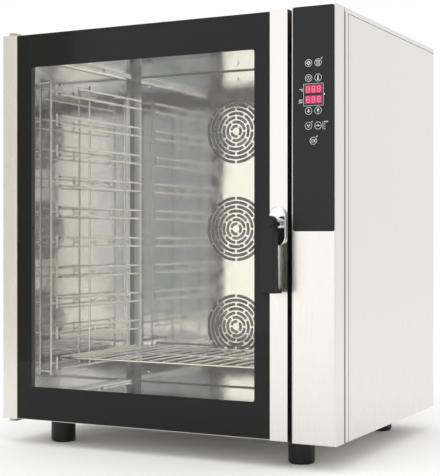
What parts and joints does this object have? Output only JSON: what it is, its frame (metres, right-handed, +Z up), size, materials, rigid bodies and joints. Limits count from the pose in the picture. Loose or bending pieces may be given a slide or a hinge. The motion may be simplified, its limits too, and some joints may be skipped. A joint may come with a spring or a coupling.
{
  "type": "combi oven",
  "caption": "Freestanding glass-door convection steam oven with a side control column, lever handle, wire tray racks, fans behind a slotted baffle, and levelling feet.",
  "frame": {"origin": "centre of the outline on the floor, at the underside of the feet", "axes": "+Z up, -Y towards the user in front of the door, +X to the user's right, where the control column is"},
  "size_m": [0.922, 0.833, 1.0583],
  "materials": {
    "casing_steel": "satin",
    "liner_steel": "polished",
    "rack_wire": "polished",
    "door_glass": "gloss",
    "black_print": "gloss",
    "black_overlay": "gloss",
    "key_caps": "satin",
    "red_display": "gloss",
    "black_plastic": "satin",
    "chrome_plate": "polished",
    "plated_steel": "satin",
    "seal_rubber": "matte",
    "mineral_wool": "matte",
    "fan_metal": "satin",
    "motor_paint": "satin",
    "valve_brass": "satin",
    "board_laminate": "satin",
    "switch_plastic": "matte",
    "nylon": "satin"
  },
  "bodies": {
    "cabinet": {"base_pan": "casing_steel", "levelling_feet": "black_plastic", "front_frame": "casing_steel", "left_side_panel": "casing_steel", "right_side_panel": "casing_steel", "top_cover": "casing_steel", "back_panel": "casing_steel", "panel_screws": "plated_steel", "cavity_liner": "liner_steel", "insulation_slabs": "mineral_wool", "door_gasket": "seal_rubber", "left_rack": "rack_wire", "right_rack": "rack_wire", "fan_baffle": "liner_steel", "baffle_screws": "liner_steel", "motor_plate": "plated_steel", "fan_motors": "motor_paint", "heating_elements": "plated_steel", "steam_injectors": "plated_steel", "water_valve": "valve_brass", "drain_pipe": "plated_steel", "vent_pipe": "plated_steel", "cable_gland": "black_plastic", "electrics_plate": "plated_steel", "switchgear": "switch_plastic", "control_column": "casing_steel", "control_overlay": "black_overlay", "display_modules": "red_display", "control_board": "board_laminate", "hinge_brackets": "plated_steel", "latch_keeper": "plated_steel"},
    "door": {"door_hinge_stile": "casing_steel", "door_handle_stile": "casing_steel", "door_rails": "casing_steel", "outer_glass": "door_glass", "glass_border": "black_print", "inner_frame": "liner_steel", "inner_glass": "door_glass", "glass_spacers": "seal_rubber", "hinge_bushes": "nylon", "handle_escutcheon": "chrome_plate"},
    "handle": {"handle_lever": "black_plastic", "handle_neck": "chrome_plate", "latch_spindle": "plated_steel"},
    "shelf": {"wire_shelf": "rack_wire"},
    "fan_bottom": {"fan_wheel_bottom": "fan_metal", "fan_shaft_bottom": "plated_steel"},
    "fan_middle": {"fan_wheel_middle": "fan_metal", "fan_shaft_middle": "plated_steel"},
    "fan_top": {"fan_wheel_top": "fan_metal", "fan_shaft_top": "plated_steel"},
    "key_lamp": {"key_lamp": "key_caps"},
    "key_program": {"key_program": "key_caps"},
    "key_timer": {"key_timer": "key_caps"},
    "key_temperature": {"key_temperature": "key_caps"},
    "key_down": {"key_down": "key_caps"},
    "key_up": {"key_up": "key_caps"},
    "key_fan": {"key_fan": "key_caps"},
    "key_steam": {"key_steam": "key_caps"},
    "key_start": {"key_start": "key_caps"}
  },
  "joints": [
    {"name": "door_swing", "type": "hinge", "parent": "cabinet", "child": "door", "pos_m": [-0.439, -0.3395, 0.557], "axis": [0, 0, -1], "range_deg": [0, 120]},
    {"name": "handle_turn", "type": "hinge", "parent": "door", "child": "handle", "pos_m": [0.321, -0.3545, 0.56], "axis": [0, 1, 0], "range_deg": [0, 90]},
    {"name": "shelf_slide", "type": "slide", "parent": "cabinet", "child": "shelf", "axis": [0, -1, 0], "range_m": [0, 0.05]},
    {"name": "fan_bottom_spin", "type": "hinge", "parent": "cabinet", "child": "fan_bottom", "pos_m": [-0.059, 0.2355, 0.277], "axis": [0, 1, 0], "continuous": true},
    {"name": "fan_middle_spin", "type": "hinge", "parent": "cabinet", "child": "fan_middle", "pos_m": [-0.059, 0.2355, 0.555], "axis": [0, 1, 0], "continuous": true},
    {"name": "fan_top_spin", "type": "hinge", "parent": "cabinet", "child": "fan_top", "pos_m": [-0.059, 0.2355, 0.833], "axis": [0, 1, 0], "continuous": true},
    {"name": "key_lamp_press", "type": "slide", "parent": "cabinet", "child": "key_lamp", "axis": [0, 1, 0], "range_m": [0, 0.0006], "stiffness_N_per_m": 1500},
    {"name": "key_program_press", "type": "slide", "parent": "cabinet", "child": "key_program", "axis": [0, 1, 0], "range_m": [0, 0.0006], "stiffness_N_per_m": 1500},
    {"name": "key_timer_press", "type": "slide", "parent": "cabinet", "child": "key_timer", "axis": [0, 1, 0], "range_m": [0, 0.0006], "stiffness_N_per_m": 1500},
    {"name": "key_temperature_press", "type": "slide", "parent": "cabinet", "child": "key_temperature", "axis": [0, 1, 0], "range_m": [0, 0.0006], "stiffness_N_per_m": 1500},
    {"name": "key_down_press", "type": "slide", "parent": "cabinet", "child": "key_down", "axis": [0, 1, 0], "range_m": [0, 0.0006], "stiffness_N_per_m": 1500},
    {"name": "key_up_press", "type": "slide", "parent": "cabinet", "child": "key_up", "axis": [0, 1, 0], "range_m": [0, 0.0006], "stiffness_N_per_m": 1500},
    {"name": "key_fan_press", "type": "slide", "parent": "cabinet", "child": "key_fan", "axis": [0, 1, 0], "range_m": [0, 0.0006], "stiffness_N_per_m": 1500},
    {"name": "key_steam_press", "type": "slide", "parent": "cabinet", "child": "key_steam", "axis": [0, 1, 0], "range_m": [0, 0.0006], "stiffness_N_per_m": 1500},
    {"name": "key_start_press", "type": "slide", "parent": "cabinet", "child": "key_start", "axis": [0, 1, 0], "range_m": [0, 0.0006], "stiffness_N_per_m": 1500}
  ]
}
